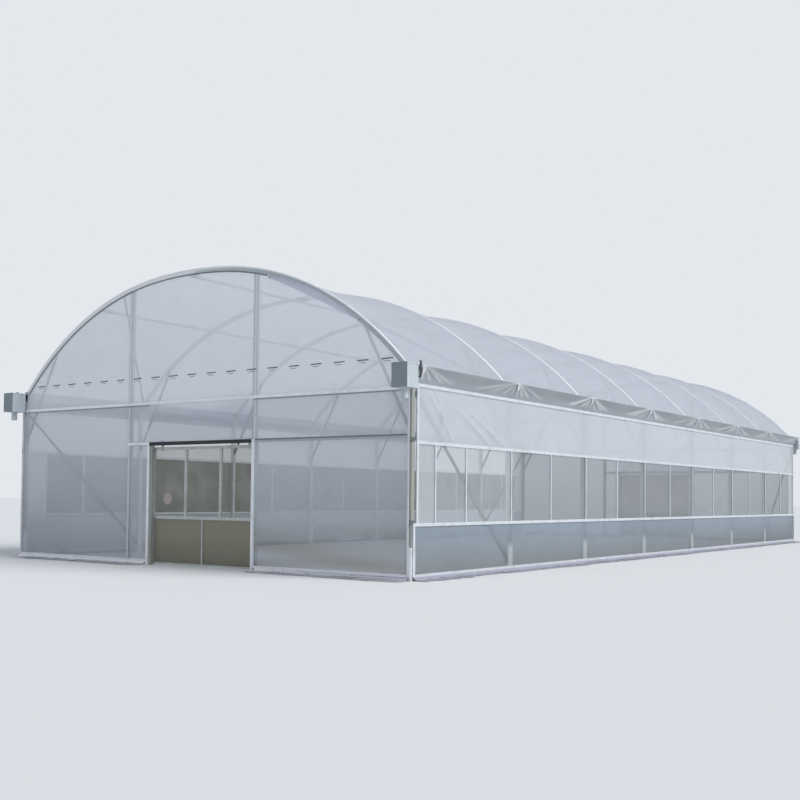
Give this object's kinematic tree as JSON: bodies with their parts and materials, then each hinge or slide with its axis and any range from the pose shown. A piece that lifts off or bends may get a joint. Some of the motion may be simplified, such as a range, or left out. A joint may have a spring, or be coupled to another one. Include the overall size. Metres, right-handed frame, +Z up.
{
  "type": "polytunnel greenhouse",
  "caption": "Film-clad polytunnel greenhouse on a galvanised frame, with mesh window bands, rain gutters and a sliding door in each gable.",
  "frame": {"origin": "on the ground, in the middle of the plan", "axes": "+X to the right seen from the front, the front gable faces -Y, +Z up"},
  "size_m": [9.8226, 21.78, 5.2573],
  "materials": {
    "galvanised_steel": "zinc spangle, dull",
    "aluminium_strip": "satin",
    "roof_film": "milky translucent film",
    "wall_film": "translucent film",
    "insect_mesh": "fine woven mesh",
    "olive_film": "grey-green film"
  },
  "bodies": {
    "building": {"posts": "galvanised_steel", "ground_stubs": "galvanised_steel", "right_bows": "galvanised_steel", "left_bows": "galvanised_steel", "crown_sleeves": "galvanised_steel", "purlins": "galvanised_steel", "knee_braces": "galvanised_steel", "wind_braces": "galvanised_steel", "roof_braces": "galvanised_steel", "gutter_saddles": "galvanised_steel", "bow_feet": "galvanised_steel", "right_gutter": "galvanised_steel", "left_gutter": "galvanised_steel", "gutter_end_boxes": "galvanised_steel", "wall_girts": "galvanised_steel", "roof_film": "roof_film", "front_film_flap": "roof_film", "right_upper_film": "roof_film", "left_upper_film": "roof_film", "right_skirt_film": "wall_film", "left_skirt_film": "wall_film", "right_window_mesh": "insect_mesh", "left_window_mesh": "insect_mesh", "window_end_panels": "wall_film", "corner_strips": "aluminium_strip", "side_top_rails": "aluminium_strip", "side_bottom_rails": "aluminium_strip", "right_window_frame": "aluminium_strip", "left_window_frame": "aluminium_strip", "right_gutter_flap": "wall_film", "left_gutter_flap": "wall_film", "arch_strips": "aluminium_strip", "door_tracks": "galvanised_steel", "front_studs": "galvanised_steel", "front_rails": "galvanised_steel", "front_gable_film": "roof_film", "front_wall_films": "wall_film", "front_strips": "aluminium_strip", "back_studs": "galvanised_steel", "back_rails": "galvanised_steel", "back_gable_film": "roof_film", "back_wall_films": "wall_film", "back_strips": "aluminium_strip"},
    "front_door": {"front_door_frame": "aluminium_strip", "front_door_mesh": "insect_mesh", "front_door_panels": "olive_film", "front_door_hangers": "galvanised_steel"},
    "back_door": {"back_door_frame": "aluminium_strip", "back_door_mesh": "insect_mesh", "back_door_panels": "olive_film", "back_door_hangers": "galvanised_steel"}
  },
  "joints": [
    {"name": "front_door_slide", "type": "slide", "parent": "building", "child": "front_door", "axis": [1, 0, 0], "range_m": [0, 2.5]},
    {"name": "back_door_slide", "type": "slide", "parent": "building", "child": "back_door", "axis": [1, 0, 0], "range_m": [0, 2.5]}
  ]
}
